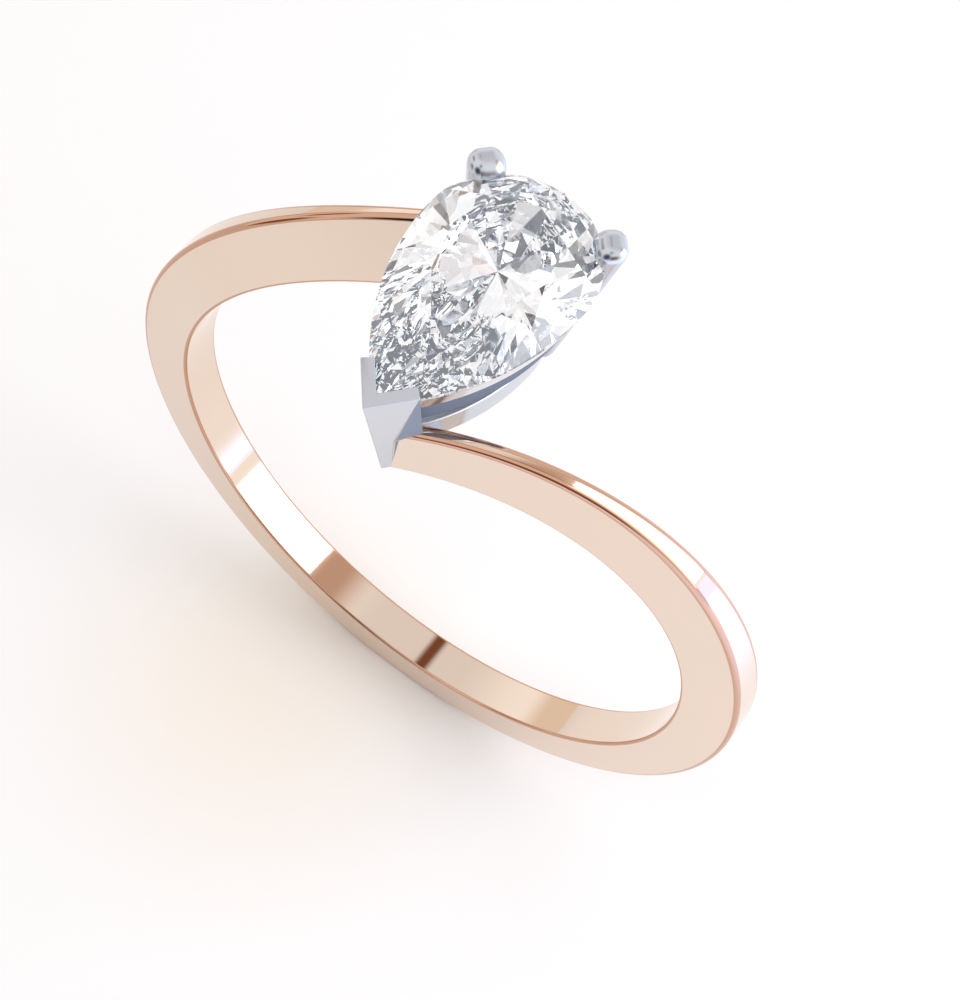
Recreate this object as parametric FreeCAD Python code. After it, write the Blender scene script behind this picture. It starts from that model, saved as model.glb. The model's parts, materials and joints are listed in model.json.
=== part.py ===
import FreeCAD, Part
import math
import os

Vec = FreeCAD.Vector

# Engagement ring with a bypass shank and a pear-cut stone, in millimetres and degrees.
# Origin: centre of the finger bore. +Y: along the finger. +Z: towards the stone.

# Finger bore and shank. Angles run from 0 at the bottom of the ring to 180 under the stone.
bore_radius = 8.3
shank_width = 1.3
depth_at_bottom = 1.5
depth_at_head = 1.88
depth_rise_start = 40.0
crown_width_bottom = 1.05
crown_width_head = 0.40
crown_taper_start = 95.0
crown_taper_end = 165.0
crown_round = 0.13
bore_round = 0.08
sweep_start = 90.0
bore_sweep_power = 2.35
crown_sweep_power = 2.75
shoulder_end = 178.9
section_step = 10.0
past_bore = 0.3
rim_search = 0.1

# Stone: a pear of one round end and two long side arcs that meet at the point.
stone_half_width = 2.2
stone_round_y = 0.6
stone_point_y = -4.35
stone_lift = 4.1
girdle_thickness = 0.12
table_height = 0.62
table_share = 0.58
culet_depth = 1.9
culet_y = 0.25
facets_around = 16

# Basket: two gallery rails and three claws, which narrow towards the finger at about one lean.
basket_lean = 14.5
seat_clearance = 0.02
girdle_rail_drop = 0.1
girdle_rail_clearance = 0.37
girdle_rail_wall = 0.42
base_rail_lift = 0.45
base_rail_height = 0.75
base_rail_wall = 0.5
claw_width = 0.90
claw_depth = 0.76
claw_proud = 0.40
claw_angle = 41.0
claw_tip_height = 0.58
claw_foot_drop = 0.1
claw_corner_round = 0.33
claw_tip_round = 0.28

# V-claw: a chevron whose wings lie along the stone's point and stop over the shank's front end.
v_tuck = 3.2
v_wall = 0.32
v_proud = 0.36
v_tip_height = 0.46
v_lean = 15.1
v_wing_reach_top = 0.82
v_wing_reach_band = 0.30
v_wing_reach_foot = 0.16
v_relief_across = 0.40
v_relief_back = 0.60
v_foot_back = 0.42
v_foot_spare = 0.2
v_cover_at_bore = 0.074
v_cover_at_crown = 0.411

# Heights that follow from the sizes above.
crown_z = bore_radius + depth_at_head
girdle_z = bore_radius + stone_lift
girdle_rail_bottom = crown_z + girdle_rail_clearance
girdle_rail_top = girdle_z - girdle_rail_drop
base_rail_bottom = bore_radius + base_rail_lift
base_rail_top = base_rail_bottom + base_rail_height


def smooth(value):
    """Ease from 0 to 1 with flat ends."""
    share = min(max(value, 0.0), 1.0)
    return share * share * (3.0 - 2.0 * share)


def polar(angle, radius, y):
    """Point at an angle from the ring's bottom, a distance from the finger axis, and a place along it."""
    turn = math.radians(angle)
    return Vec(radius * math.sin(turn), y, -radius * math.cos(turn))


def v_corner_y(z):
    """Place of the V-claw's outer ridge at one height."""
    return stone_point_y - v_proud - (z - girdle_z) * math.tan(math.radians(v_lean))


def bore_sweep():
    """Sweep of the band's middle at the bore, which brings its front face up behind the V-claw's ridge."""
    return -v_corner_y(bore_radius) - v_cover_at_bore - shank_width / 2


def crown_sweep():
    """Sweep of the band's middle at the crown, with the same face a little further behind the ridge."""
    return -v_corner_y(crown_z) - v_cover_at_crown - crown_width_head / 2


def swept(angle, sweep, power):
    """Sideways sweep of one shoulder, forwards on +X and backwards on -X."""
    share = max(abs(angle) - sweep_start, 0.0) / (180.0 - sweep_start)
    return -math.copysign(sweep * share ** power, angle)


def band_depth(angle):
    """Depth of the band from the bore to the crown, which grows towards the head."""
    share = smooth((abs(angle) - depth_rise_start) / (180.0 - depth_rise_start))
    return depth_at_bottom + (depth_at_head - depth_at_bottom) * share


def crown_width(angle):
    """Width of the band's crown, which narrows to a ridge towards the head."""
    share = smooth((abs(angle) - crown_taper_start) / (crown_taper_end - crown_taper_start))
    return crown_width_bottom + (crown_width_head - crown_width_bottom) * share


def shank_section(angle):
    """Four-sided section of the band, drawn a little past the bore so that the bore can be cut true."""
    depth = band_depth(angle)
    bore_mid = swept(angle, bore_sweep(), bore_sweep_power)
    crown_mid = swept(angle, crown_sweep(), crown_sweep_power)
    points = []
    for side in (-1, 1):
        y_bore = bore_mid + side * shank_width / 2
        y_crown = crown_mid + side * crown_width(angle) / 2
        y_inside = y_bore - (y_crown - y_bore) * past_bore / depth
        pair = [polar(angle, bore_radius - past_bore, y_inside), polar(angle, bore_radius + depth, y_crown)]
        points += pair if side < 0 else pair[::-1]
    return Part.makePolygon(points + points[:1])


def is_rim(edge, radius):
    """True for a long edge that runs round the band at about this distance from the finger axis."""
    middle = edge.valueAt(edge.getParameterByLength(edge.Length / 2))
    return edge.Length > bore_radius and abs(math.hypot(middle.x, middle.z) - radius) < rim_search


def finger_bore():
    """Cylinder of the finger, longer than the ring is wide."""
    reach = 2 * (bore_sweep() + shank_width)
    return Part.makeCylinder(bore_radius, 2 * reach, Vec(0, -reach, 0), Vec(0, 1, 0))


def make_shank():
    """Band that runs right round and bypasses itself under the stone, with rounded crown and bore edges."""
    count = int(round(2 * shoulder_end / section_step))
    angles = [-shoulder_end + 2 * shoulder_end * i / count for i in range(count + 1)]
    band = Part.makeLoft([shank_section(angle) for angle in angles], True, False)
    band = band.cut(finger_bore())
    crown_edges = [edge for edge in band.Edges if is_rim(edge, bore_radius + depth_at_bottom)]
    band = band.makeFillet(crown_round, crown_edges)
    bore_edges = [edge for edge in band.Edges if is_rim(edge, bore_radius)]
    return band.makeFillet(bore_round, bore_edges)


def pear_side_radius():
    """Radius of the girdle's two side arcs, which run from the round end to the point."""
    return ((stone_round_y - stone_point_y) ** 2 + stone_half_width ** 2) / (2 * stone_half_width)


def pear_wire(inset, z):
    """Pear outline parallel to the girdle at an inset: two side arcs and one round the blunt end."""
    radius = pear_side_radius() - inset
    centre_x = pear_side_radius() - stone_half_width
    half = stone_half_width - inset
    point_y = stone_round_y - math.sqrt(radius ** 2 - centre_x ** 2)
    turn = math.asin((stone_round_y - point_y) / radius) / 2
    side_x = radius * math.cos(turn) - centre_x
    side_y = stone_round_y - radius * math.sin(turn)
    point = Vec(0, point_y, z)
    right = Vec(half, stone_round_y, z)
    left = Vec(-half, stone_round_y, z)
    edges = [Part.Arc(point, Vec(side_x, side_y, z), right).toShape()]
    edges.append(Part.Arc(right, Vec(0, stone_round_y + half, z), left).toShape())
    edges.append(Part.Arc(left, Vec(-side_x, side_y, z), point).toShape())
    return Part.Wire(edges)


def basket_inset(z):
    """Inset of the basket's outer face from the girdle outline at one height."""
    return (girdle_z - z) * math.tan(math.radians(basket_lean))


def pear_loft(inset_low, z_low, inset_high, z_high):
    """Pear-shaped solid between an inset at a low height and one at a high height."""
    return Part.makeLoft([pear_wire(inset_low, z_low), pear_wire(inset_high, z_high)], True, True)


def pear_support(turn):
    """Distance of the girdle outline's furthest point from the origin, along a direction in plan."""
    along = Vec(math.cos(turn), math.sin(turn), 0)
    side_radius = pear_side_radius()
    point = Vec(0, stone_point_y, 0)
    if along.y >= 0:
        return stone_round_y * along.y + stone_half_width
    edge_turn = math.atan2(stone_round_y - stone_point_y, side_radius - stone_half_width)
    if math.asin(-along.y) > edge_turn:
        return point.dot(along)
    centre_x = stone_half_width - side_radius
    return centre_x * abs(along.x) + stone_round_y * along.y + side_radius


def facet_plane(turn, edge_distance, edge_z, inner_distance, inner_z):
    """Half space outside one facet: a big box on the plane through an edge line and an inner line."""
    size = 4 * (stone_round_y - stone_point_y)
    along = Vec(math.cos(turn), math.sin(turn), 0)
    up = Vec(0, 0, 1)
    slope = along * (inner_distance - edge_distance) + up * (inner_z - edge_z)
    slope.normalize()
    across = Vec(-along.y, along.x, 0)
    normal = slope.cross(across)
    if normal.dot(along) < 0:
        normal = normal * -1
    start = along * edge_distance + up * edge_z
    corner = start - slope * (size / 2) - across * (size / 2)
    face = Part.makePolygon([
        corner, corner + slope * size, corner + slope * size + across * size, corner + across * size, corner])
    return Part.Face(face).extrude(normal * size)


def make_stone(grow):
    """Pear brilliant. A grow above zero gives the cutter for its seats."""
    top = girdle_z + girdle_thickness / 2
    bottom = girdle_z - girdle_thickness / 2
    stone = pear_loft(-grow, girdle_z - culet_depth - grow, -grow, top + table_height + grow)
    for i in range(facets_around):
        turn = 2 * math.pi * (i + 0.5) / facets_around
        edge = pear_support(turn)
        table_edge = culet_y * math.sin(turn) + (edge - culet_y * math.sin(turn)) * table_share
        stone = stone.cut(facet_plane(turn, edge + grow, top, table_edge + grow, top + table_height))
    for i in range(facets_around):
        turn = 2 * math.pi * (i + 0.5) / facets_around
        culet = culet_y * math.sin(turn)
        edge = pear_support(turn)
        stone = stone.cut(facet_plane(turn, edge + grow, bottom, culet + grow, girdle_z - culet_depth))
    return stone


def make_rail(z_low, z_high, inset_low, inset_high, wall):
    """Pear-shaped ring with a flat top and bottom and one wall thickness."""
    outer = pear_loft(inset_low, z_low, inset_high, z_high)
    return outer.cut(pear_loft(inset_low + wall, z_low, inset_high + wall, z_high))


def leaning_prism(wire_low, wire_high):
    """Solid with straight edges between a low outline and a high one."""
    return Part.makeLoft([wire_low, wire_high], True, True)


def claw_section(side, z):
    """Rectangle of a claw at one height, square to the stone's round end."""
    turn = math.radians(claw_angle)
    outwards = Vec(side * math.cos(turn), math.sin(turn), 0)
    along = Vec(-outwards.y, outwards.x, 0)
    reach = stone_half_width - basket_inset(z) + claw_proud
    outer = Vec(0, stone_round_y, z) + outwards * reach
    inner = outer - outwards * claw_depth
    half = along * (claw_width / 2)
    return Part.makePolygon([outer - half, outer + half, inner + half, inner - half, outer - half])


def make_claw(side, stone_seat, rails):
    """Straight leaning claw with rounded edges, domed at the tip and notched for the stone and rails."""
    tip_z = girdle_z + claw_tip_height
    claw = leaning_prism(claw_section(side, base_rail_bottom - claw_foot_drop), claw_section(side, tip_z))
    uprights = [edge for edge in claw.Edges if edge.BoundBox.ZLength > claw_tip_height]
    claw = claw.makeFillet(claw_corner_round, uprights)
    rim = [edge for edge in claw.Edges if edge.BoundBox.ZMin > tip_z - claw_tip_round / 2]
    claw = claw.makeFillet(claw_tip_round, rim)
    claw = claw.cut(stone_seat)
    for rail in rails:
        claw = claw.cut(rail)
    return claw


def v_half_angle():
    """Half angle of the chevron: that of the stone's point over the wing's reach, tucked in a little."""
    side_radius = pear_side_radius()
    from_centre = v_wing_reach_top + side_radius - stone_half_width
    reach_y = stone_round_y - math.sqrt(side_radius ** 2 - from_centre ** 2)
    return math.atan2(v_wing_reach_top, reach_y - stone_point_y) - math.radians(v_tuck)


def v_section(z, reach, end_across, end_back):
    """Chevron of the V-claw at one height. Each wing ends on a line from its outer edge, across and back."""
    end_y = v_corner_y(z) + reach / math.tan(v_half_angle())
    right = [Vec(reach, end_y, z), Vec(reach + end_across, end_y + end_back, z)]
    left = [Vec(-point.x, point.y, z) for point in reversed(right)]
    outer_corner = Vec(0, v_corner_y(z), z)
    inner_corner = Vec(0, v_corner_y(z) + v_wall / math.sin(v_half_angle()), z)
    return Part.makePolygon([outer_corner] + right + [inner_corner] + left + [outer_corner])


def make_v_claw(stone_seat, rails):
    """V-claw with broad wings over the shank's end and a narrow foot that reaches the finger bore."""
    across = -v_wall * math.cos(v_half_angle())
    back = v_wall * math.sin(v_half_angle())
    tip = v_section(girdle_z + v_tip_height, v_wing_reach_top, across, back)
    shoulder = v_section(crown_z, v_wing_reach_band, v_relief_across, v_relief_back)
    neck = v_section(crown_z, v_wing_reach_band, 0, v_foot_back)
    foot = v_section(bore_radius - v_foot_spare, v_wing_reach_foot, 0, v_foot_back)
    claw = leaning_prism(foot, neck).fuse(leaning_prism(shoulder, tip)).removeSplitter()
    claw = claw.cut(finger_bore()).cut(stone_seat)
    for rail in rails:
        claw = claw.cut(rail)
    return claw


def write(name, shape):
    """Write one piece as a STEP file, as a bare solid where it is only one."""
    if shape.ShapeType != "Solid" and len(shape.Solids) == 1:
        shape = shape.Solids[0]
    print(name, "solids", len(shape.Solids), "valid", shape.isValid(), "volume %.3f" % shape.Volume)
    shape.exportStep(os.path.join("parts", name + ".step"))


def main():
    """Build the seven pieces. Stone and rails cut their seats in the claws, and the head its own in the shank."""
    os.makedirs("parts", exist_ok=True)
    stone = make_stone(0.0)
    stone_seat = make_stone(seat_clearance)
    girdle_rail = make_rail(girdle_rail_bottom, girdle_rail_top, basket_inset(girdle_rail_bottom),
                            basket_inset(girdle_rail_top), girdle_rail_wall).cut(stone_seat)
    base_inset = (basket_inset(base_rail_bottom) + basket_inset(base_rail_top)) / 2
    base_rail = make_rail(base_rail_bottom, base_rail_top, base_inset, base_inset, base_rail_wall)
    rails = [girdle_rail, base_rail]
    claw_left = make_claw(-1, stone_seat, rails)
    claw_right = make_claw(1, stone_seat, rails)
    v_claw = make_v_claw(stone_seat, rails)
    shank = make_shank()
    for piece in (v_claw, base_rail, claw_left, claw_right):
        shank = shank.cut(piece)
    pieces = {"shank": shank, "v_claw": v_claw, "claw_left": claw_left, "claw_right": claw_right,
              "girdle_rail": girdle_rail, "base_rail": base_rail, "pear_diamond": stone}
    for name, piece in pieces.items():
        write(name, piece)


main()
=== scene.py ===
"""Looks of an engagement ring: a rose gold bypass band, a white metal basket and a pear-cut diamond.

Lengths are millimetres and angles degrees. A piece is modelled in millimetres and brought to metres when
it is put in the scene. Places come from the frame's boxes, and only walls, rounds and shares are set here.
"""

import json
import logging
import math
from dataclasses import dataclass
from enum import Enum
from typing import ClassVar, Iterable, Sequence

import bmesh
import bpy
from mathutils import Matrix, Vector
from mathutils.geometry import intersect_line_plane, intersect_plane_plane

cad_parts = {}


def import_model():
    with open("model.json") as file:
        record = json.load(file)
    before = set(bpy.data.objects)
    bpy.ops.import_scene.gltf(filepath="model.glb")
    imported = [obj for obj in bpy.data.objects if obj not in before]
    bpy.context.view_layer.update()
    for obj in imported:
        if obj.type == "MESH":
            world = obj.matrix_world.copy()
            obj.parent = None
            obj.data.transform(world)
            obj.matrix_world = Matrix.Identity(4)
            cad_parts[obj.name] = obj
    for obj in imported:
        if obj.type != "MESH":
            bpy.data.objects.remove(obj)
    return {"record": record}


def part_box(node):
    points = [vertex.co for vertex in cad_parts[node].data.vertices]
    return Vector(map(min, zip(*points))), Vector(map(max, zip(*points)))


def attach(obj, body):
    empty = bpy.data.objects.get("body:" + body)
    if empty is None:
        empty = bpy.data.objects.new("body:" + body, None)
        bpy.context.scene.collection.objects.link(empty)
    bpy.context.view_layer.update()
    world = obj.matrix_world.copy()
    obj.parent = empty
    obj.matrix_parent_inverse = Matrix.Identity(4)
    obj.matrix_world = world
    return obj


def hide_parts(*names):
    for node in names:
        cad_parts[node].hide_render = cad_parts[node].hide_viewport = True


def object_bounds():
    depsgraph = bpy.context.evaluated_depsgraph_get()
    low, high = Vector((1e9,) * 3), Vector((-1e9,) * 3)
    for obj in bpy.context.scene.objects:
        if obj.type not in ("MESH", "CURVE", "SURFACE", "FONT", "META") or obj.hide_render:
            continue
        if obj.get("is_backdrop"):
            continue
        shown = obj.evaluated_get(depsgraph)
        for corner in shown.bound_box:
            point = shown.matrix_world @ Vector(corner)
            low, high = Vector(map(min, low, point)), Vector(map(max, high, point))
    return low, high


Colour = tuple[float, float, float]
Plane = tuple[Vector, Vector]

MM = 0.001  # a millimetre in metres
UP = Vector((0.0, 0.0, 1.0))
FINGER = Vector((0.0, 1.0, 0.0))
WELD = 0.0001  # points that are nearer than this are one point
SHARP_TURN = 35.0  # an edge that turns by more shows as a sharp edge
FLAT_SPREAD = 0.01  # areas that differ by less weigh the same in a face's shading
PAINTED_SHADE = "tone"  # face attribute with the strength of a metal's painted shade and painted dark reflections
ROUND_PAINTED_SHADE = 1.0  # that strength on rounded edges and claw tips, where dark reflection lines are painted
log = logging.getLogger("ring")


class Finish(Enum):
    """Material slots of the record. No piece takes its finish from them here."""

    ROSE_GOLD = "rose_gold"
    WHITE_METAL = "white_metal"
    DIAMOND = "diamond"


class Side(Enum):
    """Side of the ring that a claw stands on."""

    LEFT = -1
    RIGHT = 1


def node_box(node: str) -> tuple[Vector, Vector]:
    """Corners of a frame node.

    Args:
        node: Name of the node.

    Returns:
        Its lowest and highest corners in millimetres.
    """
    low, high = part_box(node)
    return low / MM, high / MM


def smooth(value: float) -> float:
    """Ease from 0 to 1 with flat ends."""
    share = min(max(value, 0.0), 1.0)
    return share * share * (3.0 - 2.0 * share)


# ---------------------------------------------------------------- mesh work


def loft(sections: Sequence[Sequence[Vector]]) -> bmesh.types.BMesh:
    """Closed solid through sections that have the same number of points in the same order.

    Args:
        sections: Outlines from the lowest to the highest.

    Returns:
        A bmesh whose caps are the first and last sections.
    """
    solid = bmesh.new()
    ring = [solid.verts.new(point) for point in sections[0]]
    base = cap = bmesh.ops.contextual_create(solid, geom=ring)["faces"][0]
    for section in sections[1:]:
        before = [vert.co.copy() for vert in ring]
        grown = bmesh.ops.extrude_face_region(solid, geom=[cap])["geom"]
        if cap is not base:
            bmesh.ops.delete(solid, geom=[cap], context="FACES_ONLY")
        cap = next(item for item in grown if isinstance(item, bmesh.types.BMFace))
        fresh = [item for item in grown if isinstance(item, bmesh.types.BMVert)]
        ring = [min(fresh, key=lambda vert, at=point: (vert.co - at).length) for point in before]
        for vert, point in zip(ring, section):
            vert.co = point
    bmesh.ops.recalc_face_normals(solid, faces=solid.faces)
    return solid


def round_edges(solid: bmesh.types.BMesh, edges: Iterable[bmesh.types.BMEdge], radius: float,
                segments: int) -> None:
    """Round edges and give the new faces the painted shade of a rounded edge, which paints dark reflection
    lines.

    Args:
        solid: Solid to change.
        edges: Edges to round.
        radius: Size of the round.
        segments: Faces across it.
    """
    tone = solid.faces.layers.float.get(PAINTED_SHADE) or solid.faces.layers.float.new(PAINTED_SHADE)
    rounded = bmesh.ops.bevel(solid, geom=list(edges), offset=radius, offset_type="OFFSET", segments=segments,
                              profile=0.5, affect="EDGES", material=-1, clamp_overlap=True)
    # The rounded faces get painted dark reflection lines.
    for face in rounded["faces"]:
        face[tone] = ROUND_PAINTED_SHADE


def sharp_edges(solid: bmesh.types.BMesh, angle: float) -> list[bmesh.types.BMEdge]:
    """Edges that turn by more than an angle in degrees."""
    limit = math.radians(angle)
    return [edge for edge in solid.edges if edge.is_manifold and edge.calc_face_angle(0.0) > limit]


def as_object(solid: bmesh.types.BMesh, name: str) -> bpy.types.Object:
    """Object in the scene that holds a copy of a solid, still in millimetres."""
    mesh = bpy.data.meshes.new(name)
    solid.to_mesh(mesh)
    holder = bpy.data.objects.new(name, mesh)
    bpy.context.scene.collection.objects.link(holder)
    return holder


def cut(solid: bmesh.types.BMesh, cutters: Sequence[bmesh.types.BMesh]) -> bmesh.types.BMesh:
    """Take solids away from another, as a seat is cut in a claw.

    Args:
        solid: What is cut. It is freed.
        cutters: What is taken away. They are kept.

    Returns:
        The solid that is left.
    """
    holders = [as_object(cutter, "cutter") for cutter in cutters]
    target = as_object(solid, "target")
    for holder in holders:
        step = target.modifiers.new("seat", "BOOLEAN")
        step.operation = "DIFFERENCE"
        step.solver = "EXACT"
        step.object = holder
    left = bmesh.new()
    mesh = bpy.data.meshes.new_from_object(target.evaluated_get(bpy.context.evaluated_depsgraph_get()))
    left.from_mesh(mesh)
    for spent in [mesh, *(holder.data for holder in [target, *holders])]:
        bpy.data.meshes.remove(spent)
    solid.free()
    bmesh.ops.remove_doubles(left, verts=left.verts, dist=WELD)
    bmesh.ops.dissolve_degenerate(left, dist=WELD, edges=left.edges)
    return left


def place(solid: bmesh.types.BMesh, name: str, material: bpy.types.Material,
          flat: bool = False) -> bpy.types.Object:
    """Put a finished solid in the scene in the place of the frame node of the same name.

    Args:
        solid: Solid in millimetres. It is freed.
        name: Name of the frame node it stands for.
        material: Its material.
        flat: True for facets, which keep hard edges.

    Returns:
        The new object.
    """
    shown = name + "_polished"
    for face in solid.faces:
        face.smooth = not flat
    for edge in sharp_edges(solid, SHARP_TURN):
        edge.smooth = False
    holder = as_object(solid, name)
    solid.free()
    if not flat:
        normals = holder.modifiers.new("even_faces", "WEIGHTED_NORMAL")
        normals.mode = "FACE_AREA"
        normals.keep_sharp = True
        normals.thresh = FLAT_SPREAD
    mesh = bpy.data.meshes.new_from_object(holder.evaluated_get(bpy.context.evaluated_depsgraph_get()))
    bpy.data.meshes.remove(holder.data)
    mesh.name = shown
    mesh.transform(Matrix.Scale(MM, 4))
    mesh.materials.clear()
    mesh.materials.append(material)
    piece = bpy.data.objects.new(shown, mesh)
    bpy.context.scene.collection.objects.link(piece)
    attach(piece, "root")
    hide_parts(name)
    log.info("%s: %d faces", piece.name, len(mesh.polygons))
    return piece


# ---------------------------------------------------------------- shader work


def opaque(colour: Colour) -> tuple[float, float, float, float]:
    """Colour with an alpha of 1."""
    return (*colour, 1.0)


class Value:
    """One output socket, on which Python's arithmetic adds Math nodes."""

    def __init__(self, tree: "NodeTree", socket: bpy.types.NodeSocket | None) -> None:
        """Hold a socket and the tree that it is in. An output node has no socket."""
        self.tree = tree
        self.socket = socket

    def maths(self, operation: str, first: "Value | float", second: "Value | float") -> "Value":
        """Result of a Math node.

        Args:
            operation: Name of the operation.
            first: Value or number.
            second: Value or number.

        Returns:
            The node's result.
        """
        return self.tree.node("ShaderNodeMath", {"operation": operation}, {0: first, 1: second})

    def __add__(self, other: "Value | float") -> "Value":
        """Sum."""
        return self.maths("ADD", self, other)

    def __sub__(self, other: "Value | float") -> "Value":
        """Difference."""
        return self.maths("SUBTRACT", self, other)

    def __rsub__(self, other: "Value | float") -> "Value":
        """Difference from a number."""
        return self.maths("SUBTRACT", other, self)

    def __mul__(self, other: "Value | float") -> "Value":
        """Product."""
        return self.maths("MULTIPLY", self, other)

    def __pow__(self, other: "Value | float") -> "Value":
        """Power."""
        return self.maths("POWER", self, other)

    def __gt__(self, other: "Value | float") -> "Value":
        """1 where this is the greater, and 0 elsewhere."""
        return self.maths("GREATER_THAN", self, other)

    __radd__ = __add__
    __rmul__ = __mul__


class NodeTree:
    """Empty node tree of a material or a world."""

    def __init__(self, owner: bpy.types.ID) -> None:
        """Clear the owner's node tree and hold it."""
        owner.use_nodes = True
        self.tree = owner.node_tree
        self.tree.nodes.clear()

    def node(self, kind: str, settings: dict[str, object] | None = None,
             inputs: dict[int | str, object] | None = None, output: int | str = 0) -> Value:
        """Add a node.

        Args:
            kind: Type of the node.
            settings: The node's own settings, which are set first.
            inputs: Values or links of its sockets, by name or index.
            output: Output that is returned.

        Returns:
            The chosen output.
        """
        made = self.tree.nodes.new(kind)
        for name, setting in (settings or {}).items():
            setattr(made, name, setting)
        for name, value in (inputs or {}).items():
            if isinstance(value, Value):
                self.tree.links.new(value.socket, made.inputs[name])
            else:
                made.inputs[name].default_value = value
        return Value(self, made.outputs[output] if len(made.outputs) else None)

    def noise(self, scale: float, detail: float,
              stretch: tuple[float, float, float] = (1.0, 1.0, 1.0)) -> Value:
        """Noise on object coordinates.

        Args:
            scale: Features per metre.
            detail: Octaves.
            stretch: Scale along each axis before the noise.

        Returns:
            The noise, from 0 to 1.
        """
        place_on = self.node("ShaderNodeTexCoord", output="Object")
        mapped = self.node("ShaderNodeMapping", inputs={"Vector": place_on, "Scale": stretch})
        return self.node("ShaderNodeTexNoise", inputs={"Vector": mapped, "Scale": scale, "Detail": detail})

    def along(self, vector: Value, axis: Vector) -> Value:
        """Share of a vector along an axis of length 1."""
        return self.node("ShaderNodeVectorMath", {"operation": "DOT_PRODUCT"}, {0: vector, 1: axis},
                         output="Value")

    def eased(self, value: Value, start: float, end: float) -> Value:
        """Share that eases from 0 where a value is at its start to 1 at its end."""
        return self.node("ShaderNodeMapRange", {"interpolation_type": "SMOOTHSTEP"},
                         {"Value": value, "From Min": start, "From Max": end})

    def blend(self, share: Value, first: Value | Colour, second: Value | Colour) -> Value:
        """Colour between two colours.

        Args:
            share: Share of the second one.
            first: Colour or value.
            second: Colour or value.

        Returns:
            The blended colour.
        """
        ends = [end if isinstance(end, Value) else opaque(end) for end in (first, second)]
        return self.node("ShaderNodeMix", {"data_type": "RGBA"}, {0: share, 6: ends[0], 7: ends[1]}, output=2)


@dataclass(frozen=True)
class PolishedMetal:
    """Mirror-polished precious metal with faint wheel marks, a slow drift of colour, and painted shade and
    painted dark reflections by face.
    """

    name: str
    colour: Colour
    drift_colour: Colour
    # Colour, share and roughness where the face attribute lays painted shade and painted dark reflections.
    painted_shade_colour: Colour
    painted_shade_share: float
    roughness: float
    painted_shade_roughness: float
    haze: float = 0.03
    drift_per_metre: float = 160.0
    drift_detail: float = 2.0
    marks_per_metre: float = 5200.0
    marks_detail: float = 3.0
    marks_stretch: tuple[float, float, float] = (1.0, 0.12, 1.0)
    mark_depth: float = 0.0000006
    mark_strength: float = 0.5

    def material(self) -> bpy.types.Material:
        """Build the material.

        Returns:
            A material that reads object coordinates and the piece's painted shade attribute.
        """
        made = bpy.data.materials.new(self.name)
        tree = NodeTree(made)
        drift = tree.noise(self.drift_per_metre, self.drift_detail)
        marks = tree.noise(self.marks_per_metre, self.marks_detail, self.marks_stretch)
        # Per-face strength of the painted shade and painted dark reflections.
        deep = tree.node("ShaderNodeAttribute", {"attribute_name": PAINTED_SHADE}, output="Fac")
        body = tree.blend(drift, self.colour, self.drift_colour)
        gloss = self.roughness + self.haze * (marks * drift) + deep * (self.painted_shade_roughness - self.roughness)
        bump = tree.node("ShaderNodeBump", inputs={
            "Strength": self.mark_strength, "Distance": self.mark_depth, "Height": marks})
        shader = tree.node("ShaderNodeBsdfPrincipled", inputs={
            "Base Color": tree.blend(deep * self.painted_shade_share, body, self.painted_shade_colour), "Metallic": 1.0,
            "Roughness": gloss, "Normal": bump})
        tree.node("ShaderNodeOutputMaterial", inputs={"Surface": shader})
        return made


@dataclass(frozen=True)
class Diamond:
    """Clear cut diamond with a trace of cool tint and a very faint painted cool glow."""

    name: str = "clear_diamond"
    clear: Colour = (1.0, 1.0, 1.0)
    tint: Colour = (0.94, 0.97, 1.0)
    refraction: float = 2.417
    # Strength and colour of the painted glow, which the stone emits though it is no lamp.
    glow: float = 0.006
    painted_stone_glow_colour: Colour = (0.55, 0.75, 1.0)
    clouds_per_metre: float = 900.0
    clouds_detail: float = 2.0

    def material(self) -> bpy.types.Material:
        """Build the material.

        Returns:
            A clear refracting material.
        """
        made = bpy.data.materials.new(self.name)
        tree = NodeTree(made)
        clouds = tree.noise(self.clouds_per_metre, self.clouds_detail)
        # The emission is the painted cool glow.
        shader = tree.node("ShaderNodeBsdfPrincipled", inputs={
            "Base Color": tree.blend(clouds, self.clear, self.tint), "Roughness": 0.0, "IOR": self.refraction,
            "Transmission Weight": 1.0, "Emission Color": opaque(self.painted_stone_glow_colour),
            "Emission Strength": self.glow})
        tree.node("ShaderNodeOutputMaterial", inputs={"Surface": shader})
        return made


# ---------------------------------------------------------------- stone


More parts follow.
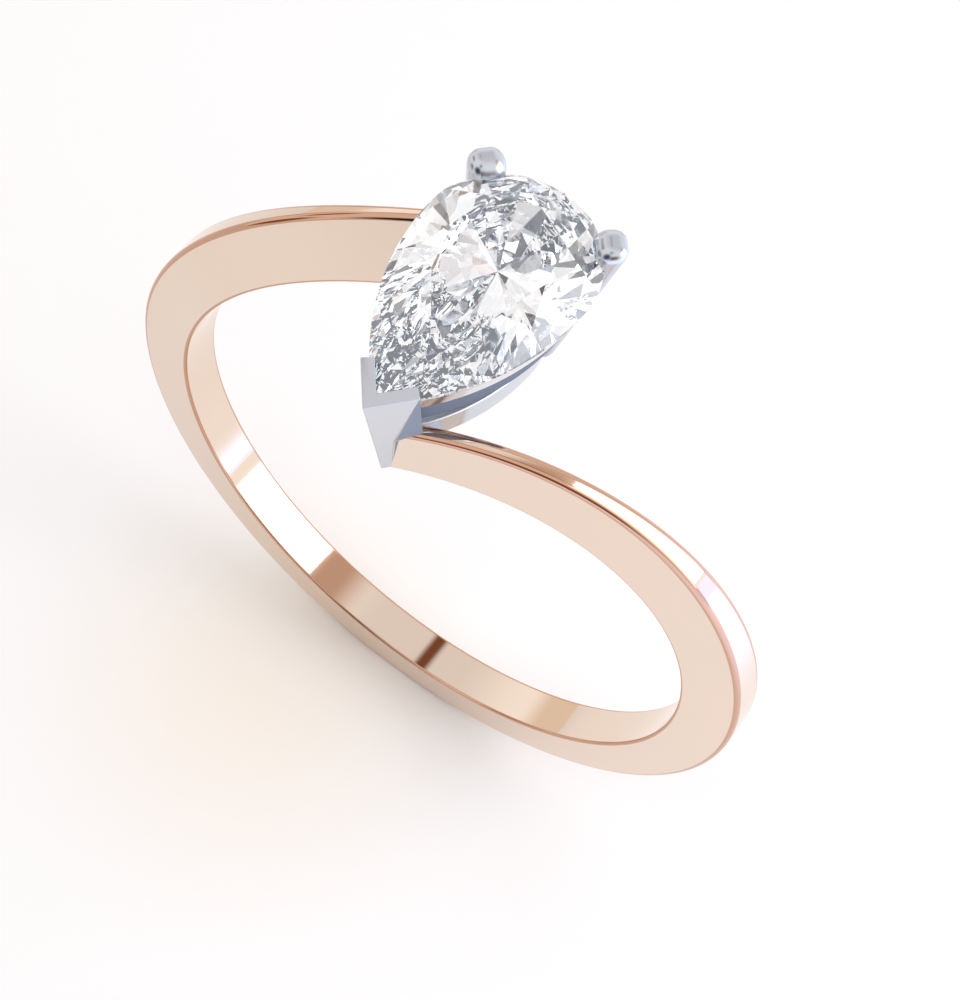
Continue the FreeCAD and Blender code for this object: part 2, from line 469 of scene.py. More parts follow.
@dataclass(frozen=True)
class PearOutline:
    """Pear girdle: a round end and two long side arcs that meet at a point on -Y."""

    half_width: float
    round_y: float
    point_y: float
    arc_steps: int = 40
    round_steps: int = 56

    @property
    def side_radius(self) -> float:
        """Radius of the two side arcs."""
        return ((self.round_y - self.point_y) ** 2 + self.half_width ** 2) / (2 * self.half_width)

    @property
    def side_centre_x(self) -> float:
        """Distance of each side arc's centre from the middle line."""
        return self.side_radius - self.half_width

    def tip_y(self, inset: float) -> float:
        """Place of the point of the outline moved in by an inset."""
        return self.round_y - math.sqrt((self.side_radius - inset) ** 2 - self.side_centre_x ** 2)

    def loop(self, solid: bmesh.types.BMesh, inset: float, z: float) -> list[bmesh.types.BMEdge]:
        """Add the outline, moved in by an inset, as a closed loop of edges.

        Args:
            solid: Where it is added.
            inset: Distance from the girdle, which is 0.
            z: Height of the loop.

        Returns:
            The loop's edges.
        """
        tip = self.tip_y(inset)
        turn = math.asin((self.round_y - tip) / (self.side_radius - inset))
        old_edges = set(solid.edges)
        first = solid.verts.new((0.0, tip, z))
        last = [first]
        arcs = ((-self.side_centre_x, turn, self.arc_steps), (0.0, math.pi, self.round_steps),
                (self.side_centre_x, turn, self.arc_steps))
        for centre_x, angle, steps in arcs:
            swept = bmesh.ops.spin(solid, geom=last, cent=(centre_x, self.round_y, z), axis=UP, angle=angle,
                                   steps=steps, use_merge=False, use_duplicate=False)
            last = [item for item in swept["geom_last"] if isinstance(item, bmesh.types.BMVert)]
        fresh = dict.fromkeys(vert for edge in solid.edges if edge not in old_edges for vert in edge.verts)
        bmesh.ops.remove_doubles(solid, verts=list(fresh), dist=WELD)
        return [edge for edge in solid.edges if edge not in old_edges and edge.is_valid]

    def spot(self, turn: float) -> Plane:
        """Girdle point seen from the round end's centre in a direction.

        Args:
            turn: Direction in plan, in degrees from +X.

        Returns:
            That point at height 0, and the girdle's outward normal there.
        """
        middle = Vector((0.0, self.round_y, 0.0))
        towards = Vector((math.cos(math.radians(turn)), math.sin(math.radians(turn)), 0.0))
        if towards.y >= 0:
            return middle + towards * self.half_width, towards
        lever = self.side_centre_x * abs(towards.x)
        reach = math.sqrt(lever ** 2 + self.side_radius ** 2 - self.side_centre_x ** 2) - lever
        point = middle + towards * reach
        if abs(point.x) < WELD:
            return point, Vector((0.0, -1.0, 0.0))
        centre = Vector((-math.copysign(self.side_centre_x, point.x), self.round_y, 0.0))
        return point, (point - centre).normalized()


@dataclass
class PearBrilliant:
    """Pear brilliant: table, stars, crown mains and halves, girdle, pavilion halves and mains."""

    outline: PearOutline
    girdle_low: float
    girdle_high: float
    table_z: float
    culet: Vector
    table_share: float = 0.58
    star_depth: float = 0.45
    half_depth: float = 0.76
    main_turns: tuple[float, ...] = (90.0, 40.0, -14.0, -60.0, -90.0, -120.0, -166.0, 140.0)
    pavilion_depth: ClassVar[float] = 1.9
    girdle_half: ClassVar[float] = 0.06
    culet_y: ClassVar[float] = 0.25

    @classmethod
    def from_frame(cls) -> "PearBrilliant":
        """Take the stone's outline and heights from its frame node."""
        low, high = node_box("pear_diamond")
        half_width = high.x
        outline = PearOutline(half_width, high.y - half_width, low.y)
        girdle_z = low.z + cls.pavilion_depth
        culet = Vector((0.0, cls.culet_y, low.z))
        return cls(outline, girdle_z - cls.girdle_half, girdle_z + cls.girdle_half, high.z, culet)

    @staticmethod
    def plane(first: Vector, second: Vector, third: Vector) -> Plane:
        """Point and normal of the plane through three points."""
        return first, (second - first).cross(third - first).normalized()

    def main(self, turn: float, inner: Vector, z: float) -> Plane:
        """Plane of a main facet, which touches the girdle along its tangent.

        Args:
            turn: Direction of the main, in degrees.
            inner: Corner of the table, or the culet.
            z: Height of the girdle's edge.

        Returns:
            A point and a normal.
        """
        point, normal = self.outline.spot(turn)
        return self.plane(inner, point + UP * z, point + UP * z + normal.cross(UP))

    @staticmethod
    def meeting(first: Plane, second: Plane, z: float) -> Vector:
        """Point at a height on the line where two planes meet."""
        start, along = intersect_plane_plane(*first, *second)
        return intersect_line_plane(start, start + along, UP * z, UP)

    def ring_of_facets(self, turn: float, following: float) -> list[Plane]:
        """Planes between one main and the next: the main itself, the star and both pairs of halves.

        Args:
            turn: Direction of the main, in degrees.
            following: Direction of the next one.

        Returns:
            A point and a normal for each plane. The normal's sign is left open.
        """
        middle = Vector((0.0, self.culet.y, 0.0))
        mid = turn + ((following - turn + 180.0) % 360.0 - 180.0) / 2
        here, between, after = (self.outline.spot(angle)[0] for angle in (turn, mid, following))
        corner, next_corner = (middle.lerp(point, self.table_share) + UP * self.table_z
                               for point in (here, after))
        crown = self.main(turn, corner, self.girdle_high)
        star = self.meeting(crown, self.main(following, next_corner, self.girdle_high),
                            self.table_z + (self.girdle_high - self.table_z) * self.star_depth)
        pavilion = self.main(turn, self.culet, self.girdle_low)
        deep = self.meeting(pavilion, self.main(following, self.culet, self.girdle_low),
                            self.girdle_low + (self.culet.z - self.girdle_low) * self.half_depth)
        planes = [crown, self.plane(corner, next_corner, star), pavilion]
        for tip, z in ((star, self.girdle_high), (deep, self.girdle_low)):
            planes.append(self.plane(tip, here + UP * z, between + UP * z))
            planes.append(self.plane(tip, between + UP * z, after + UP * z))
        return planes

    def facets(self) -> list[Plane]:
        """Planes of every facet but the table.

        Returns:
            A point and a normal for each plane.
        """
        after = self.main_turns[1:] + self.main_turns[:1]
        return [plane for pair in zip(self.main_turns, after) for plane in self.ring_of_facets(*pair)]

    def solid(self, grow: float = 0.0) -> bmesh.types.BMesh:
        """Cut the stone from a pear-shaped blank, facet by facet.

        Args:
            grow: Distance by which every face is moved out, for a seat's cutter.

        Returns:
            The cut stone.
        """
        stone = bmesh.new()
        floor_z = self.culet.z - grow
        base = self.outline.loop(stone, -grow, floor_z)
        face = bmesh.ops.contextual_create(stone, geom=base)["faces"][0]
        grown = bmesh.ops.extrude_face_region(stone, geom=[face])["geom"]
        top = [item for item in grown if isinstance(item, bmesh.types.BMVert)]
        bmesh.ops.translate(stone, verts=top, vec=UP * (self.table_z + grow - floor_z))
        bmesh.ops.recalc_face_normals(stone, faces=stone.faces)
        heart = Vector((0.0, self.culet.y, self.girdle_low))
        for point, normal in self.facets():
            if (point - heart).dot(normal) < 0:
                normal = -normal
            kept = bmesh.ops.bisect_plane(
                stone, geom=[*stone.verts, *stone.edges, *stone.faces], dist=WELD / 10,
                plane_co=point + normal * grow, plane_no=normal, clear_outer=True)
            rim = [item for item in kept["geom_cut"] if isinstance(item, bmesh.types.BMEdge)]
            if len(rim) > 2:
                bmesh.ops.contextual_create(stone, geom=[edge for edge in rim if edge.is_boundary])
        bmesh.ops.remove_doubles(stone, verts=stone.verts, dist=WELD)
        bmesh.ops.recalc_face_normals(stone, faces=stone.faces)
        return stone


# ---------------------------------------------------------------- basket


@dataclass
class Basket:
    """White metal head without its V-claw: two gallery rails and two round claws."""

    outline: PearOutline
    girdle_z: float
    lean: float = 14.5
    rail_wall: float = 0.42
    base_wall: float = 0.5
    rail_round: float = 0.05
    rail_segments: int = 3
    rail_edge_turn: float = 40.0
    # Height of the girdle rail's upper band, and the painted shade strengths: a little on plain faces, more
    # on tops and bottoms, most on inner faces and the girdle rail's lower band.
    rail_band: float = 0.66
    plain_painted_shade: float = 0.3
    top_painted_shade: float = 2.4
    shaded: float = 6.0
    claw_turn: float = 41.0
    claw_width: float = 0.90
    claw_depth: float = 0.76
    claw_proud: float = 0.40
    claw_corner_round: float = 0.33
    claw_tip_round: float = 0.31
    round_segments: int = 7

    def inset(self, z: float) -> float:
        """Inset of the basket's outer face from the girdle at a height."""
        return (self.girdle_z - z) * math.tan(math.radians(self.lean))

    def rail(self, corners: Sequence[tuple[float, float, float]]) -> bmesh.types.BMesh:
        """Pear-shaped rail with rounded edges.

        Args:
            corners: Inset and height of each corner of its section, and the painted shade strength of the
                face that follows it.

        Returns:
            The rail.
        """
        rail = bmesh.new()
        tone = rail.faces.layers.float.new(PAINTED_SHADE)
        loops = [self.outline.loop(rail, inset, z) for inset, z, _ in corners]
        for near, far, corner in zip(loops, loops[1:] + loops[:1], corners):
            for first, second in zip(near, far):
                for face in bmesh.ops.contextual_create(rail, geom=[first, second])["faces"]:
                    face[tone] = corner[2]
        bmesh.ops.recalc_face_normals(rail, faces=rail.faces)
        level = [edge for edge in sharp_edges(rail, self.rail_edge_turn)
                 if abs(edge.verts[0].co.z - edge.verts[1].co.z) < WELD]
        round_edges(rail, level, self.rail_round, self.rail_segments)
        return rail

    def girdle_rail(self) -> bmesh.types.BMesh:
        """Upper rail, which leans like the claws, with painted shade on its lower band and little on its
        upper band.
        """
        low, high = node_box("girdle_rail")
        step_z = high.z - self.rail_band
        at_low, at_step, at_high = (self.inset(z) for z in (low.z, step_z, high.z))
        return self.rail([
            (at_low, low.z, self.shaded),
            (at_step, step_z, self.plain_painted_shade),
            (at_high, high.z, self.top_painted_shade),
            (at_high + self.rail_wall, high.z, self.shaded),
            (at_low + self.rail_wall, low.z, self.top_painted_shade)])

    def base_rail(self) -> bmesh.types.BMesh:
        """Lower rail, which stands upright."""
        low, high = node_box("base_rail")
        outer = (self.inset(low.z) + self.inset(high.z)) / 2
        inner = outer + self.base_wall
        # Painted shade: a little on the outer face, more on top and bottom, most on the inner face.
        return self.rail([
            (outer, low.z, self.plain_painted_shade),
            (outer, high.z, self.top_painted_shade),
            (inner, high.z, self.shaded),
            (inner, low.z, self.top_painted_shade)])

    def claw_section(self, side: Side, z: float) -> list[Vector]:
        """Rectangle of a round claw at one height, square to the stone's round end."""
        turn = math.radians(self.claw_turn)
        outwards = Vector((side.value * math.cos(turn), math.sin(turn), 0.0))
        across = UP.cross(outwards) * (self.claw_width / 2)
        reach = self.outline.half_width - self.inset(z) + self.claw_proud
        outer = Vector((0.0, self.outline.round_y, z)) + outwards * reach
        inner = outer - outwards * self.claw_depth
        return [outer - across, outer + across, inner + across, inner - across]

    def claw(self, side: Side) -> bmesh.types.BMesh:
        """Round claw with a domed tip, before its seats are cut.

        Args:
            side: Side it stands on.

        Returns:
            The claw.
        """
        low, high = node_box("claw_" + side.name.lower())
        claw = loft([self.claw_section(side, low.z), self.claw_section(side, high.z)])
        uprights = [edge for edge in claw.edges
                    if abs(edge.verts[0].co.z - edge.verts[1].co.z) > self.claw_depth]
        round_edges(claw, uprights, self.claw_corner_round, self.round_segments)
        rim = [edge for edge in claw.edges if min(vert.co.z for vert in edge.verts) > high.z - WELD]
        round_edges(claw, rim, self.claw_tip_round, self.round_segments)
        # The domed tip gets the painted dark reflection of a rounded edge.
        tone = claw.faces.layers.float[PAINTED_SHADE]
        for face in claw.faces:
            if min(vert.co.z for vert in face.verts) > high.z - WELD:
                face[tone] = ROUND_PAINTED_SHADE
        return claw


@dataclass
class VClaw:
    """Chevron claw round the stone's point, with broad wings over the band's end and a narrow foot."""

    outline: PearOutline
    girdle_z: float
    bore_radius: float
    band_top: float
    tuck: float = 3.2
    wall: float = 0.32
    proud: float = 0.36
    lean: float = 15.1
    reach_top: float = 0.82
    reach_band: float = 0.30
    reach_foot: float = 0.16
    relief: tuple[float, float] = (0.40, 0.60)
    foot_back: float = 0.42
    foot_spare: float = 0.2
    ledge: float = 0.12
    edge_round: float = 0.035
    edge_segments: int = 3
    edge_turn: float = 25.0
    # Painted shade strength on the wing ends, which paints a dark reflection there.
    relief_painted_shade: float = 5.0

    @property
    def half_angle(self) -> float:
        """Half angle of the chevron in radians, from the stone's point over the wing's reach."""
        lever = self.reach_top + self.outline.side_centre_x
        reach_y = self.outline.round_y - math.sqrt(self.outline.side_radius ** 2 - lever ** 2)
        return math.atan2(self.reach_top, reach_y - self.outline.point_y) - math.radians(self.tuck)

    def corner_y(self, z: float) -> float:
        """Place of the outer ridge at one height."""
        return self.outline.point_y - self.proud - (z - self.girdle_z) * math.tan(math.radians(self.lean))

    def section(self, z: float, reach: float, across: float, back: float) -> list[Vector]:
        """Chevron at one height.

        Args:
            z: The height.
            reach: How far each wing reaches sideways.
            across: Sideways run of the wing's end.
            back: Backwards run of the wing's end.

        Returns:
            Its six corners.
        """
        end_y = self.corner_y(z) + reach / math.tan(self.half_angle)
        inner_y = self.corner_y(z) + self.wall / math.sin(self.half_angle)
        right = [Vector((reach, end_y, z)), Vector((reach + across, end_y + back, z))]
        left = [Vector((-point.x, point.y, z)) for point in reversed(right)]
        return [Vector((0.0, self.corner_y(z), z)), *right, Vector((0.0, inner_y, z)), *left]

    def solid(self) -> bmesh.types.BMesh:
        """Build the V-claw, before its seats are cut.

        Returns:
            The V-claw.
        """
        square = (-self.wall * math.cos(self.half_angle), self.wall * math.sin(self.half_angle))
        tip_z = node_box("v_claw")[1].z
        claw = loft([
            self.section(self.bore_radius - self.foot_spare, self.reach_foot, 0.0, self.foot_back),
            self.section(self.band_top - self.ledge, self.reach_band, 0.0, self.foot_back),
            self.section(self.band_top, self.reach_band, *self.relief),
            self.section(tip_z, self.reach_top, *square)])
        # The wing ends, whose faces are all off the middle line, get painted shade as a dark reflection; the
        # other faces get none.
        tone = claw.faces.layers.float.new(PAINTED_SHADE)
        for face in claw.faces:
            face[tone] = self.relief_painted_shade if all(abs(vert.co.x) > WELD for vert in face.verts) else 0.0
        round_edges(claw, sharp_edges(claw, self.edge_turn), self.edge_round, self.edge_segments)
        return claw


# ---------------------------------------------------------------- band


@dataclass
class Shank:
    """Bypass band: a four-sided section that sweeps forwards on +X and backwards on -X under the stone."""

    bore_radius: float
    v_claw: VClaw
    width: float = 1.3
    depth_bottom: float = 1.5
    depth_head: float = 1.88
    depth_rise_start: float = 40.0
    crown_width_bottom: float = 1.05
    crown_width_head: float = 0.40
    crown_taper: tuple[float, float] = (95.0, 165.0)
    crown_round: float = 0.13
    bore_round: float = 0.08
    sweep_start: float = 90.0
    bore_power: float = 2.35
    crown_power: float = 2.75
    cover_at_bore: float = 0.074
    cover_at_crown: float = 0.411
    end_turn: float = 178.9
    steps: int = 320
    hoop_wall: float = 1.0
    hoop_half_width: float = 1.0
    round_segments: int = 5
    edge_turn: float = 30.0
    along_turn: float = 0.1

    def depth(self, turn: float) -> float:
        """Depth of the band at an angle from the bottom."""
        share = smooth((abs(turn) - self.depth_rise_start) / (180.0 - self.depth_rise_start))
        return self.depth_bottom + (self.depth_head - self.depth_bottom) * share

    def crown_width(self, turn: float) -> float:
        """Width of the crown at an angle from the bottom."""
        start, end = self.crown_taper
        share = smooth((abs(turn) - start) / (end - start))
        return self.crown_width_bottom + (self.crown_width_head - self.crown_width_bottom) * share

    def swept(self, turn: float, sweep: float, power: float) -> float:
        """Sideways place of the band's middle at an angle from the bottom."""
        share = max(abs(turn) - self.sweep_start, 0.0) / (180.0 - self.sweep_start)
        return -math.copysign(sweep * share ** power, turn)

    def bend(self, vert: bmesh.types.BMVert) -> None:
        """Move a vertex of the plain hoop to its place on the bypass band.

        Args:
            vert: Vertex on one of the hoop's two sides, at its bore or its crown.
        """
        turn = self.turn_of(vert)
        side = math.copysign(1.0, vert.co.y)
        at_bore = self.is_at_bore(vert)
        radius = self.bore_radius if at_bore else self.bore_radius + self.depth(turn)
        if at_bore:
            sweep = -self.v_claw.corner_y(self.bore_radius) - self.cover_at_bore - self.width / 2
            place_y = self.swept(turn, sweep, self.bore_power) + side * self.width / 2
        else:
            crown_z = self.bore_radius + self.depth_head
            sweep = -self.v_claw.corner_y(crown_z) - self.cover_at_crown - self.crown_width_head / 2
            place_y = self.swept(turn, sweep, self.crown_power) + side * self.crown_width(turn) / 2
        angle = math.radians(turn)
        vert.co = Vector((radius * math.sin(angle), place_y, -radius * math.cos(angle)))

    def solid(self) -> bmesh.types.BMesh:
        """Spin a hoop, bend it to the bypass and round its edges.

        Returns:
            The band, before the head's seats are cut.
        """
        band = bmesh.new()
        start = Matrix.Rotation(math.radians(self.end_turn), 3, FINGER)
        inner, outer = self.bore_radius, self.bore_radius + self.hoop_wall
        back, front = -self.hoop_half_width, self.hoop_half_width
        corners = ((inner, back), (outer, back), (outer, front), (inner, front))
        section = [band.verts.new(start @ Vector((0.0, y, -radius))) for radius, y in corners]
        face = bmesh.ops.contextual_create(band, geom=section)["faces"][0]
        bmesh.ops.spin(band, geom=[face, *face.edges, *face.verts], cent=(0.0, 0.0, 0.0), axis=-FINGER,
                       angle=math.radians(2 * self.end_turn), steps=self.steps, use_merge=False,
                       use_duplicate=False)
        bmesh.ops.recalc_face_normals(band, faces=band.faces)
        for vert in band.verts:
            self.bend(vert)
        bmesh.ops.recalc_face_normals(band, faces=band.faces)
        longest = 4 * math.pi * (self.bore_radius + self.depth_head) / self.steps
        long_edges = [edge for edge in sharp_edges(band, self.edge_turn) if edge.calc_length() < longest
                      and abs(self.turn_of(edge.verts[0]) - self.turn_of(edge.verts[1])) > self.along_turn]
        bore_edges = [edge for edge in long_edges if self.is_at_bore(edge.verts[0])]
        crown_edges = [edge for edge in long_edges if edge not in set(bore_edges)]
        round_edges(band, crown_edges, self.crown_round, self.round_segments)
        bore_edges = [edge for edge in bore_edges if edge.is_valid]
        round_edges(band, bore_edges, self.bore_round, self.round_segments)
        return band

    @staticmethod
    def turn_of(vert: bmesh.types.BMVert) -> float:
        """Angle of a vertex from the ring's bottom, in degrees."""
        return math.degrees(math.atan2(vert.co.x, -vert.co.z))

    def is_at_bore(self, vert: bmesh.types.BMVert) -> bool:
        """Whether a vertex is nearer to the bore than to the crown."""
        return math.hypot(vert.co.x, vert.co.z) < self.bore_radius + self.hoop_wall / 2


# ---------------------------------------------------------------- whole ring


@dataclass
class Ring:
    """The whole ring, built piece by piece round the frame."""

    bore_radius: float
    seat_clearance: float = 0.02
    bore_segments: int = 360
    # Each metal darkens its faces towards its painted shade colour by their painted shade strength: painted
    # dark reflections on rounded edges and claw tips, painted shade on shaded faces.
    rose_gold: PolishedMetal = PolishedMetal(
        "polished_rose_gold", colour=(0.80, 0.665, 0.555), drift_colour=(0.83, 0.68, 0.56),
        painted_shade_colour=(0.50, 0.22, 0.11), painted_shade_share=0.72, roughness=0.05, painted_shade_roughness=0.06)
    white_metal: PolishedMetal = PolishedMetal(
        "polished_white_metal", colour=(0.62, 0.66, 0.72), drift_colour=(0.66, 0.69, 0.74),
        painted_shade_colour=(0.16, 0.19, 0.25), painted_shade_share=0.14, roughness=0.07, painted_shade_roughness=0.22)
    diamond: Diamond = Diamond()

    def finger_bore(self) -> bmesh.types.BMesh:
        """Cylinder of the finger, longer than the ring is wide."""
        bore = bmesh.new()
        lying = Matrix.Rotation(math.radians(90.0), 4, "X")
        bmesh.ops.create_cone(bore, cap_ends=True, cap_tris=False, segments=self.bore_segments,
                              radius1=self.bore_radius, radius2=self.bore_radius, depth=4 * self.bore_radius,
                              matrix=lying)
        return bore

    def build(self) -> list[bpy.types.Object]:
        """Build every piece and put it in the scene.

        Returns:
            The seven pieces.
        """
        stone = PearBrilliant.from_frame()
        girdle_z = (stone.girdle_low + stone.girdle_high) / 2
        basket = Basket(stone.outline, girdle_z)
        v_shape = VClaw(stone.outline, girdle_z, self.bore_radius, self.bore_radius + Shank.depth_head)
        shank = Shank(self.bore_radius, v_shape)
        seat = stone.solid(self.seat_clearance)
        girdle_rail = basket.girdle_rail()
        base_rail = basket.base_rail()
        v_claw = v_shape.solid()
        claws = {side: basket.claw(side) for side in Side}
        band = cut(shank.solid(), [v_claw, base_rail, *claws.values()])
        v_claw = cut(v_claw, [self.finger_bore(), seat, girdle_rail, base_rail])
        claws = {side: cut(claw, [seat, girdle_rail, base_rail]) for side, claw in claws.items()}
        girdle_rail = cut(girdle_rail, [seat])
        white = self.white_metal.material()
        pieces = [place(band, "shank", self.rose_gold.material()),
                  place(v_claw, "v_claw", white),
                  place(girdle_rail, "girdle_rail", white),
                  place(base_rail, "base_rail", white)]
        pieces += [place(claw, "claw_" + side.name.lower(), white)
                   for side, claw in claws.items()]
        pieces.append(place(stone.solid(), "pear_diamond", self.diamond.material(),
                            flat=True))
        return pieces


# ---------------------------------------------------------------- studio


@dataclass(frozen=True)
class Softbox:
    """Square area light that points at the ring, and shows in its faces if it is mirrored."""

    name: str
    azimuth: float
    elevation: float
    radiance: float
    colour: Colour
    size: float
    distance: float
    mirrored: bool = True

    def build(self) -> bpy.types.Object:
        """Add the light.

        Returns:
            The light.
        """
        turn, rise = math.radians(self.azimuth), math.radians(self.elevation)
        towards = Vector((math.sin(turn) * math.cos(rise), math.cos(turn) * math.cos(rise), math.sin(rise)))
        lamp = bpy.data.lights.new(self.name, "AREA")
        lamp.shape = "SQUARE"
        lamp.size = self.size * MM
        lamp.energy = self.radiance * math.pi * (self.size * MM) ** 2
        lamp.color = self.colour
        light = bpy.data.objects.new(self.name, lamp)
        light.location = towards * self.distance * MM
        light.rotation_euler = towards.to_track_quat("Z", "Y").to_euler()
        light.visible_glossy = self.mirrored
        bpy.context.scene.collection.objects.link(light)
        return light


@dataclass(frozen=True)
class Zone:
    """Soft-edged oval part of the surrounding light, in its own colour.

    Its half sizes are angles from its middle, and its core is the share of them that has the full colour.
    """

    direction: tuple[float, float, float]
    half_height: float
    half_width: float
    colour: Colour
    core: float = 0.5

    def over(self, tree: NodeTree, towards: Value, light: Value | Colour) -> Value:
        """Lay the zone over the light so far.

        Args:
            tree: The world's tree.
            towards: Direction in the world.
            light: Colour of the light so far.

        Returns:
            The colour with this zone in it.
        """
        centre = Vector(self.direction).normalized()
        across = centre.cross(FINGER).normalized()
        along = across.cross(centre)
        high = tree.along(towards, along) * (1.0 / math.sin(math.radians(self.half_height)))
        wide = tree.along(towards, across) * (1.0 / math.sin(math.radians(self.half_width)))
        share = 1.0 - tree.eased((high * high + wide * wide) ** 0.5, self.core, 1.0)
        return tree.blend(share * (tree.along(towards, centre) > 0.0), light, self.colour)


@dataclass(frozen=True)
class PaleFloor:
    """Matt pale floor with a painted warm pool of light under the ring's front and a painted cool glow far
    out on +X.
    """

    name: str = "pale_floor"
    pale: Colour = (0.965, 0.965, 0.97)
    grain: Colour = (0.975, 0.975, 0.98)
    grain_per_metre: float = 40.0
    grain_detail: float = 2.0
    roughness: float = 0.8
    shine: float = 0.1
    # Painted warm pool of light near the ring, as if reflected from the gold.
    painted_pool_spot: tuple[float, float] = (-3.0, -4.0)
    painted_pool_radius: float = 9.0
    painted_pool_share: float = 0.7
    painted_pool_colour: Colour = (0.95, 0.87, 0.76)
    # Painted cool glow: the floor emits light from here outwards on +X.
    painted_floor_glow_from: float = 12.0
    painted_floor_glow_to: float = 36.0
    painted_floor_glow_colour: Colour = (0.30, 0.46, 0.92)

    def material(self, floor_z: float) -> bpy.types.Material:
        """Build the material.

        Args:
            floor_z: Height of the floor.

        Returns:
            A material that reads object coordinates.
        """
        made = bpy.data.materials.new(self.name)
        tree = NodeTree(made)
        grain = tree.noise(self.grain_per_metre, self.grain_detail)
        spot = tree.node("ShaderNodeTexCoord", output="Object")
        away = tree.node("ShaderNodeVectorMath", {"operation": "DISTANCE"},
                         {0: spot, 1: Vector((*self.painted_pool_spot, floor_z)) * MM}, output="Value")
        # Painted warm pool of light near the ring, and painted cool glow far out on +X.
        painted_pool = 1.0 - tree.eased(away, 0.0, self.painted_pool_radius * MM)
        painted_floor_glow = tree.eased(tree.along(spot, Vector((1.0, 0.0, 0.0))), self.painted_floor_glow_from * MM, self.painted_floor_glow_to * MM)
        colour = tree.blend(painted_pool * self.painted_pool_share, tree.blend(grain, self.pale, self.grain),
                            self.painted_pool_colour)
        # The emission is the painted cool glow.
        shader = tree.node("ShaderNodeBsdfPrincipled", inputs={
            "Base Color": colour, "Roughness": self.roughness, "Specular IOR Level": self.shine,
            "Emission Color": tree.blend(painted_floor_glow, (0.0, 0.0, 0.0), self.painted_floor_glow_colour), "Emission Strength": 1.0})
        tree.node("ShaderNodeOutputMaterial", inputs={"Surface": shader})
        return made


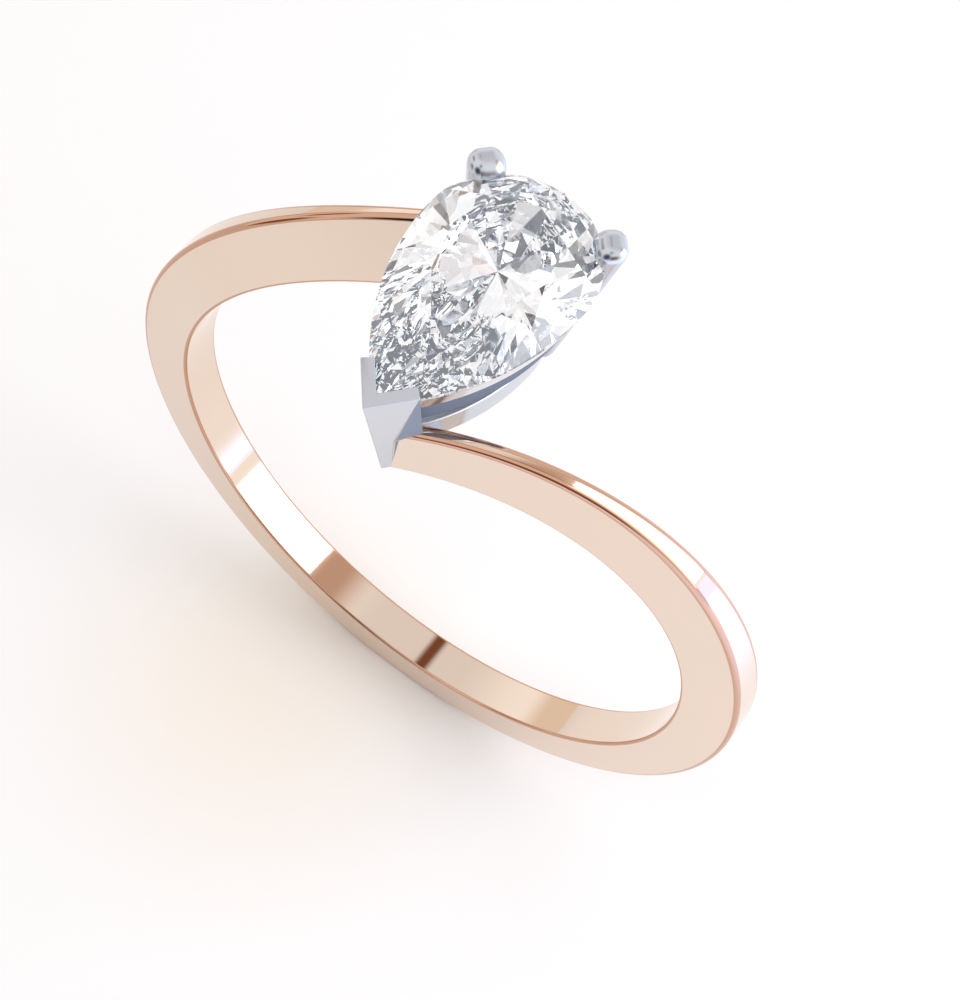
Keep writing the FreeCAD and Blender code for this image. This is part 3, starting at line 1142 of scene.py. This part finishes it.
@dataclass
class Studio:
    """Pale floor, soft light all round with some dim and warm zones, two softboxes and the camera."""

    floor_z: float
    floor_radius: float = 1200.0
    floor_segments: int = 96
    floor_finish: PaleFloor = PaleFloor()
    camera_azimuth: float = 23.11
    camera_elevation: float = 62.38
    camera_roll: float = 14.55
    camera_distance: float = 59.94
    camera_shift_right: float = 1.168
    camera_shift_up: float = 0.504
    lens: float = 78.97
    sensor_width: float = 36.0
    glossy_bounces: int = 16
    deepest_bounces: int = 24
    softboxes: tuple[Softbox, ...] = (
        Softbox("key_right", azimuth=70.0, elevation=26.0, radiance=1.85, colour=(0.87, 0.89, 1.0),
                size=100.0, distance=120.0),
        Softbox("floor_right", azimuth=67.0, elevation=47.0, radiance=0.6, colour=(0.84, 0.88, 1.0),
                size=50.0, distance=96.0, mirrored=False),
    )
    backdrop: Colour = (1.0, 1.0, 1.0)
    base_light: Colour = (1.11, 1.095, 1.08)
    # Each zone: direction, half height, half width, colour and, where it isn't half, its core.
    zones: tuple[Zone, ...] = (
        Zone((-0.25, 0.36, 0.90), 34.0, 50.0, (0.88, 0.84, 0.83), 0.4),
        Zone((-0.88, 0.46, 0.04), 19.0, 19.0, (0.88, 0.74, 0.62)),
        Zone((0.46, 0.36, 0.82), 24.0, 16.0, (0.60, 0.41, 0.31), 0.2),
        Zone((-0.33, 0.36, 0.87), 13.0, 3.8, (0.20, 0.07, 0.025), 0.3),
        Zone((-0.86, -0.16, 0.49), 12.0, 12.0, (0.35, 0.18, 0.09)),
        Zone((-0.74, -0.66, 0.08), 20.0, 20.0, (0.30, 0.15, 0.08)),
        Zone((0.70, -0.66, 0.27), 24.0, 24.0, (0.30, 0.14, 0.07)),
        Zone((0.05, -0.90, 0.42), 30.0, 32.0, (0.03, 0.04, 0.07)),
        Zone((0.18, -0.43, 0.885), 11.0, 11.0, (0.03, 0.04, 0.07)),
    )

    def floor(self) -> bpy.types.Object:
        """Add the round pale floor that the ring stands on.

        Returns:
            The floor.
        """
        disc = bmesh.new()
        bmesh.ops.create_circle(disc, cap_ends=True, segments=self.floor_segments,
                                radius=self.floor_radius * MM)
        bmesh.ops.translate(disc, verts=disc.verts, vec=UP * self.floor_z * MM)
        floor = as_object(disc, "floor")
        disc.free()
        floor.data.materials.append(self.floor_finish.material(self.floor_z))
        floor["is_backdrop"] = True
        return floor

    def world(self) -> None:
        """Set the soft surrounding light, with its zones. The camera sees a plain white backdrop."""
        world = bpy.data.worlds.new("soft_studio")
        bpy.context.scene.world = world
        tree = NodeTree(world)
        towards = tree.node("ShaderNodeTexCoord", output="Generated")
        light: Value | Colour = self.base_light
        for zone in self.zones:
            light = zone.over(tree, towards, light)
        seen = tree.node("ShaderNodeLightPath", output="Is Camera Ray")
        glow = tree.node("ShaderNodeBackground", inputs={
            "Color": tree.blend(seen, light, self.backdrop), "Strength": 1.0})
        tree.node("ShaderNodeOutputWorld", inputs={"Surface": glow})

    def camera(self) -> bpy.types.Object:
        """Add the camera and make it the scene's.

        Returns:
            The camera.
        """
        turn, rise = math.radians(self.camera_azimuth), math.radians(self.camera_elevation)
        level = Vector((math.cos(turn), math.sin(turn), 0.0))
        back = Vector((math.sin(turn) * math.cos(rise), -math.cos(turn) * math.cos(rise), math.sin(rise)))
        rolled = Matrix.Rotation(math.radians(self.camera_roll), 3, back)
        right = rolled @ level
        above = back.cross(right)
        aim = right * self.camera_shift_right + above * self.camera_shift_up
        place_at = (back * self.camera_distance + aim) * MM
        turned = Matrix((right, above, back)).transposed().to_4x4()
        view = bpy.data.cameras.new("camera")
        view.lens = self.lens
        view.sensor_width = self.sensor_width
        view.sensor_fit = "AUTO"
        view.clip_start = MM
        camera = bpy.data.objects.new("camera", view)
        camera.matrix_world = Matrix.Translation(place_at) @ turned
        bpy.context.scene.collection.objects.link(camera)
        bpy.context.scene.camera = camera
        return camera

    def build(self) -> None:
        """Build the floor, surroundings, softboxes and camera, and set the view transform and the bounces."""
        self.floor()
        self.world()
        for softbox in self.softboxes:
            softbox.build()
        self.camera()
        scene = bpy.context.scene
        scene.view_settings.view_transform = "Standard"
        scene.cycles.glossy_bounces = self.glossy_bounces
        scene.cycles.transmission_bounces = self.deepest_bounces
        scene.cycles.max_bounces = self.deepest_bounces


def plain(box: Iterable[Iterable[float]]) -> list[list[float]]:
    """Corners of a box as plain lists."""
    return [[float(value) for value in corner] for corner in box]


def main() -> None:
    """Load the frame, build the ring and the studio, and stand the floor at the bottom of the frame's box."""
    logging.basicConfig(level=logging.INFO, format="%(name)s: %(message)s")
    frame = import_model()
    cad_box = plain(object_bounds())
    bore_radius = frame["record"]["mounts"][0]["dims"]["r_mm"]
    pieces = Ring(bore_radius).build()
    log.info("%d pieces", len(pieces))
    Studio(cad_box[0][2] / MM).build()


if __name__ == "__main__":
    main()
